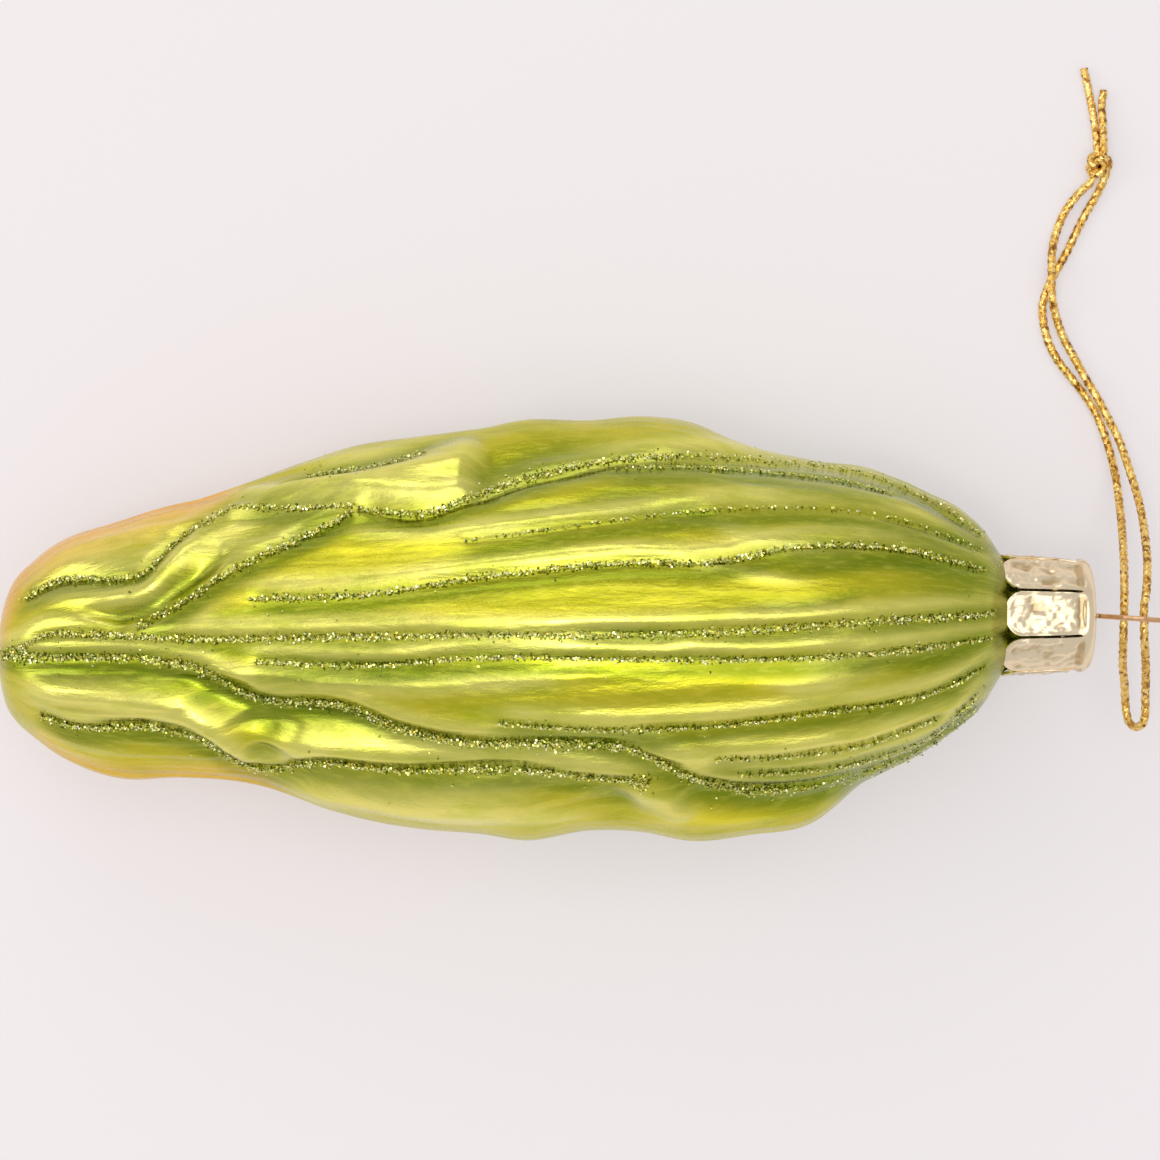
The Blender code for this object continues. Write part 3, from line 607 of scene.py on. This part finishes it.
# Colour attribute: the lacquer's own colours with painted highlights and painted shade.
lacquer_and_painted_light = cob.data.color_attributes.new("lacquer_and_painted_light", "FLOAT_COLOR", "POINT")
colours = lacquer_and_painted_light_colours(shape[:, 0], plan_y, upper, field, crown)
colours = np.column_stack((colours, np.ones(len(colours))))
lacquer_and_painted_light.data.foreach_set("color", colours.astype(np.float32).ravel())
brushwork = cob.data.uv_layers.active
brushwork.name = "brushwork"
loop_vertex = np.zeros(len(cob.data.loops), np.int32)
cob.data.loops.foreach_get("vertex_index", loop_vertex)
uv = np.column_stack((shape[:, 0] / STREAK_LENGTH, around_body / math.pi))[loop_vertex]
brushwork.data.foreach_set("uv", uv.astype(np.float32).ravel())
cob.data.materials.append(silvered_lacquer())
cob.data.shade_smooth()
cob.data.update()
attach(cob, "root")
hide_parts("glass_cob")

# ---------------------------------------------------------------- glitter lines
# Lines of clear glue drawn along the ribs and leaf edges, strewn with hexagonal foil
# flakes while wet.  The flakes lie at all tilts, gold-green with darker green between.
FLAKE = 0.13                          # millimetres from a flake's middle to its corner
FLAKE_THICK = 0.03
FLAKES_PER_MM2 = 22.0
ABOVE_COB = 60.0                      # a flake is dropped from this height
# Distance from the tip past which a line is strewn more thinly
THINS_OUT = {"fold_edge": 76.0, "leaf_edge": 86.0, "rib_high": 104.0, "rib_upper": 50.0}
glass = BVHTree.FromObject(cob, bpy.context.evaluated_depsgraph_get())


def glitter_foil():
    """Metal foil in the colour of each flake, duller in places."""
    made = bpy.data.materials.new("glitter_foil")
    made.use_nodes = True
    nodes, links = made.node_tree.nodes, made.node_tree.links
    shader = nodes["Principled BSDF"]
    tint = nodes.new("ShaderNodeAttribute")
    tint.attribute_name = "flake"
    grain = nodes.new("ShaderNodeTexNoise")
    grain.inputs["Scale"].default_value = 6000.0
    where = nodes.new("ShaderNodeTexCoord")
    links.new(where.outputs["Object"], grain.inputs["Vector"])
    rough = nodes.new("ShaderNodeMapRange")
    links.new(grain.outputs["Fac"], rough.inputs["Value"])
    rough.inputs["To Min"].default_value = 0.12
    rough.inputs["To Max"].default_value = 0.4
    links.new(rough.outputs["Result"], shader.inputs["Roughness"])
    links.new(tint.outputs["Color"], shader.inputs["Base Color"])
    shader.inputs["Metallic"].default_value = 0.9
    return made


def strew(name, points, width, seed, finish):
    """Closed hexagonal flakes scattered along a line and dropped onto the glass."""
    dice = np.random.default_rng(seed)
    line = even_points([(x, y, 0.0) for x, y in points], 0.25)
    length = np.linalg.norm(np.diff(line, axis=0), axis=1).sum()
    count = int(length * width * FLAKES_PER_MM2)
    spot = dice.uniform(0, len(line) - 1, count)
    centre = np.column_stack([np.interp(spot, np.arange(len(line)), line[:, k])
                              for k in range(2)])
    thin = 0.75 + 0.25 * np.sin(spot * 0.11 + seed) * np.sin(spot * 0.037 + 2 * seed)
    stray = np.where(dice.uniform(0, 1, count) < 0.015, 7.0, 1.0)
    centre += dice.normal(0, 0.26, (count, 2)) * (width * thin * stray)[:, None]
    sparse = 0.7 * ramp(0.0, 8.0, centre[:, 0] - THINS_OUT.get(name, BODY_LENGTH))
    laid = dice.uniform(0, 1, count) > sparse
    turn = np.arange(6) * math.pi / 3
    hexagon = np.column_stack((np.cos(turn), np.sin(turn), np.zeros(6)))
    plate = np.concatenate((hexagon, hexagon)) * FLAKE
    plate[:6, 2] = -FLAKE_THICK / 2
    plate[6:, 2] = FLAKE_THICK / 2
    palette = np.array(((0.80, 0.80, 0.30), (0.44, 0.49, 0.08), (0.13, 0.16, 0.012),
                        (0.66, 0.57, 0.10), (0.97, 0.96, 0.60)))
    kinds = dice.choice(5, count, p=(0.31, 0.26, 0.14, 0.20, 0.09))
    corners, faces, tints = [], [], []
    for x, y, kind in zip(centre[laid, 0], centre[laid, 1], kinds[laid]):
        above = place((x, y, ABOVE_COB))
        hit, normal, _, _ = glass.ray_cast(Vector(above), Vector((0, 0, -1)))
        lift = dice.uniform(0.05, 0.28)
        tilt = Vector(dice.normal(0, 0.45, 3))
        size = dice.uniform(0.75, 1.2)
        spin = dice.uniform(0, math.pi)
        if hit is None:
            continue
        lie = (normal + tilt).normalized().to_track_quat("Z", "Y").to_matrix()
        lie = np.array(lie @ Matrix.Rotation(spin, 3, "Z"))
        base = len(corners) * 12
        corners.append(np.array(hit + normal * lift * MM) + plate * size * MM @ lie.T)
        faces.append(tuple(base + k for k in reversed(range(6))))
        faces.append(tuple(base + 6 + k for k in range(6)))
        for k in range(6):
            far = (k + 1) % 6
            faces.append((base + k, base + far, base + 6 + far, base + 6 + k))
        tints.append(kind)
    piece = new_piece("strewn_" + name, np.concatenate(corners), faces, finish, False)
    shades = np.repeat(palette[np.array(tints)], 12, axis=0)
    shades = np.column_stack((shades, np.ones(len(shades))))
    attribute = piece.data.color_attributes.new("flake", "FLOAT_COLOR", "POINT")
    attribute.data.foreach_set("color", shades.astype(np.float32).ravel())
    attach(piece, "root")
    return piece


foil = glitter_foil()
for seed, (name, _, width, points) in enumerate(GLITTER):
    line = strew(name, points, width, seed + 11, foil)
    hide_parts("glitter_" + name)
strew("glue_drop", ((73.8, -18.4), (75.4, -18.6)), 2.6, 40, foil)

# ---------------------------------------------------------------- the crown cap
# Thin tinplate, lacquered pale gold and stamped into a cup with eight round-ended petals.
# Each petal has a raised border, a dent under the shoulder and small crinkles; they grip
# the neck, and a raised ring in the middle of the top lets the wire through.
PETALS = 8
PETAL_TURN = 2.5                      # degrees
TIN = 0.26
SLIT_END = 9.2                        # length of a slit, from the petals' tips
TIP_DEPTH = 2.3                       # from a petal's corners to the end of its round tip
# Distance from the cob's tip and radius, from the petals' tips over the shoulder to the ring
CAP_PROFILE = ((115.7, 7.32, 0), (116.6, 7.2, 0), (118, 7.08, 0), (121, 6.92, 0),
               (123.4, 6.76, 0), (124.3, 6.6, 0), (124.9, 6.62, 0), (125.5, 6.5, 0), (126.0, 6.15, 0),
               (126.28, 5.6, 0), (126.32, 4.6, 0), (126.32, 3.4, 0), (126.34, 2.5, 0),
               (126.55, 2.15, 0), (126.74, 1.8, 0), (126.75, 1.4, 0))


def stamped_petal(number, profile, reach):
    """One petal with its share of the shoulder and the top, as a grid bent round the axis."""
    bpy.ops.object.select_all(action="DESELECT")
    bpy.ops.mesh.primitive_grid_add(x_subdivisions=22, y_subdivisions=64, size=2.0)
    petal = bpy.context.object
    flat = np.array([v.co for v in petal.data.vertices])
    side, rise = flat[:, 0], (flat[:, 1] + 1.0) / 2.0
    tip = TIP_DEPTH * (1.0 - np.sqrt(1.0 - 0.97 * side**2))
    run = tip + (reach[-1] - tip) * rise
    x = np.interp(run, reach, profile[:, 0])
    radius = np.interp(run, reach, profile[:, 1])
    half_turn = math.pi / PETALS
    gap = 0.17 * (1.0 - ramp(SLIT_END - 0.5, SLIT_END, run))
    angle = side * (half_turn - gap / radius)
    skirt = 1.0 - ramp(7.5, 9.6, run)
    flatness = 0.55 * skirt * (1.0 - math.cos(half_turn) / np.cos(angle))
    inward = np.minimum((1.0 - np.abs(side)) * radius * half_turn, run - tip)
    relief = 0.11 * skirt * np.exp(-((inward - 0.55) / 0.2) ** 2)
    relief -= 0.28 * np.exp(-((run - 8.9) / 0.45) ** 4) * np.exp(-(side / 0.78) ** 6)
    for scale, lift in ((0.55, 0.24), (1.5, 0.16), (3.6, 0.05)):
        spots = [Vector((scale * a, scale * b, 7.3 * number))
                 for a, b in zip(x, side * radius * half_turn)]
        crinkle = np.array([noise.noise(spot) for spot in spots])
        relief += lift * crinkle * skirt * ramp(0.0, 0.8, inward)
    radius = radius * (1.0 - flatness) + relief
    turn = angle + 2.0 * half_turn * number + math.radians(PETAL_TURN)
    shape = np.column_stack((x, radius * np.sin(turn), AXIS_HEIGHT + radius * np.cos(turn)))
    petal.data.vertices.foreach_set("co", place(shape).astype(np.float32).ravel())
    # Grey from the stamped relief for the tin's colour: browner where it sinks, paler where it rises.
    relief_tone = petal.data.color_attributes.new("relief", "FLOAT_COLOR", "POINT")
    shade = np.clip(0.5 + 2.2 * relief, 0.0, 1.0)
    shade = np.column_stack((shade, shade, shade, np.ones(len(shade))))
    relief_tone.data.foreach_set("color", shade.astype(np.float32).ravel())
    return petal


def metal_grain():
    """Node group for both metals: a fine cloud over the surface, and the dents it makes."""
    group = bpy.data.node_groups.new("metal_grain", "ShaderNodeTree")
    for label in ("Scale", "Detail", "Dents"):
        group.interface.new_socket(label, in_out="INPUT", socket_type="NodeSocketFloat")
    group.interface.new_socket("Cloud", in_out="OUTPUT", socket_type="NodeSocketFloat")
    group.interface.new_socket("Normal", in_out="OUTPUT", socket_type="NodeSocketVector")
    nodes, links = group.nodes, group.links
    given, result = nodes.new("NodeGroupInput"), nodes.new("NodeGroupOutput")
    where = nodes.new("ShaderNodeTexCoord")
    cloud = nodes.new("ShaderNodeTexNoise")
    bump = nodes.new("ShaderNodeBump")
    bump.inputs["Distance"].default_value = 0.0002
    links.new(where.outputs["Object"], cloud.inputs["Vector"])
    links.new(given.outputs["Scale"], cloud.inputs["Scale"])
    links.new(given.outputs["Detail"], cloud.inputs["Detail"])
    links.new(given.outputs["Dents"], bump.inputs["Strength"])
    links.new(cloud.outputs["Fac"], bump.inputs["Height"])
    links.new(cloud.outputs["Fac"], result.inputs["Cloud"])
    links.new(bump.outputs["Normal"], result.inputs["Normal"])
    return group


def grained_metal(name, scale, detail, dents):
    """Metal with the shared grain: its material, its nodes and the cloud's socket."""
    made = bpy.data.materials.new(name)
    made.use_nodes = True
    nodes, links = made.node_tree.nodes, made.node_tree.links
    shader = nodes["Principled BSDF"]
    shader.inputs["Metallic"].default_value = 1.0
    grain = nodes.new("ShaderNodeGroup")
    grain.node_tree = METAL_GRAIN
    for label, number in (("Scale", scale), ("Detail", detail), ("Dents", dents)):
        grain.inputs[label].default_value = number
    links.new(grain.outputs["Normal"], shader.inputs["Normal"])
    return made, nodes, links, shader, grain.outputs["Cloud"]


METAL_GRAIN = metal_grain()


def stamped_tin():
    """Pale gold lacquer on tin, browner in the hollows of the stamping."""
    made, nodes, links, shader, cloud = grained_metal("champagne_tin", 420.0, 4.0, 0.3)
    depth = nodes.new("ShaderNodeAttribute")
    depth.attribute_name = "relief"
    relief_tone = nodes.new("ShaderNodeMath")
    relief_tone.operation = "MULTIPLY_ADD"
    links.new(cloud, relief_tone.inputs[0])
    relief_tone.inputs[1].default_value = 0.35
    links.new(depth.outputs["Fac"], relief_tone.inputs[2])
    tone = nodes.new("ShaderNodeValToRGB")
    tone.color_ramp.elements[0].position = 0.32
    tone.color_ramp.elements[0].color = (0.60, 0.45, 0.24, 1)
    tone.color_ramp.elements[1].position = 0.66
    tone.color_ramp.elements[1].color = (0.88, 0.74, 0.50, 1)
    links.new(relief_tone.outputs[0], tone.inputs["Fac"])
    links.new(tone.outputs["Color"], shader.inputs["Base Color"])
    rough = nodes.new("ShaderNodeMapRange")
    rough.inputs["To Min"].default_value = 0.14
    rough.inputs["To Max"].default_value = 0.32
    links.new(cloud, rough.inputs["Value"])
    links.new(rough.outputs["Result"], shader.inputs["Roughness"])
    return made


cap_line = even_points(CAP_PROFILE, 0.1)
cap_reach = np.concatenate(((0,), np.cumsum(np.linalg.norm(np.diff(cap_line, axis=0), axis=1))))
petals = [stamped_petal(number, cap_line, cap_reach) for number in range(PETALS)]
for petal in petals:
    petal.select_set(True)
bpy.context.view_layer.objects.active = petals[0]
bpy.ops.object.join()
cap = bpy.context.object
cap.name = "stamped_cap"
bpy.ops.object.mode_set(mode="EDIT")
bpy.ops.mesh.select_all(action="SELECT")
bpy.ops.mesh.remove_doubles(threshold=0.00001)
bpy.ops.mesh.normals_make_consistent(inside=False)
bpy.ops.object.mode_set(mode="OBJECT")
tin = cap.modifiers.new("tin", "SOLIDIFY")
tin.thickness = TIN * MM
tin.offset = -1.0
bpy.ops.object.modifier_apply(modifier="tin")
cap.data.shade_smooth()
cap.data.set_sharp_from_angle(angle=math.radians(50))
cap.data.materials.clear()
cap.data.materials.append(stamped_tin())
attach(cap, "root")
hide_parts("crown_cap")

# ---------------------------------------------------------------- the hanger wire
# A hairpin of coppery spring wire, 0.6 mm thick, with its eye outside the cap.  The two
# legs are pinched together, pushed through the cap's hole and spring apart in the neck.
def copper_wire():
    """Drawn copper wire, darker in patches."""
    made, nodes, links, shader, cloud = grained_metal("copper_wire", 1500.0, 5.0, 0.25)
    tone = nodes.new("ShaderNodeMix")
    tone.data_type = "RGBA"
    links.new(cloud, tone.inputs["Factor"])
    tone.inputs["A"].default_value = (0.55, 0.28, 0.12, 1.0)
    tone.inputs["B"].default_value = (0.86, 0.58, 0.32, 1.0)
    links.new(tone.outputs["Result"], shader.inputs["Base Color"])
    shader.inputs["Roughness"].default_value = 0.25
    return made


wire = bpy.data.objects["hanger_wire"]
wire_copper = copper_wire()
for held in wire.material_slots:
    held.material = wire_copper
if not wire.material_slots:
    wire.data.materials.append(wire_copper)
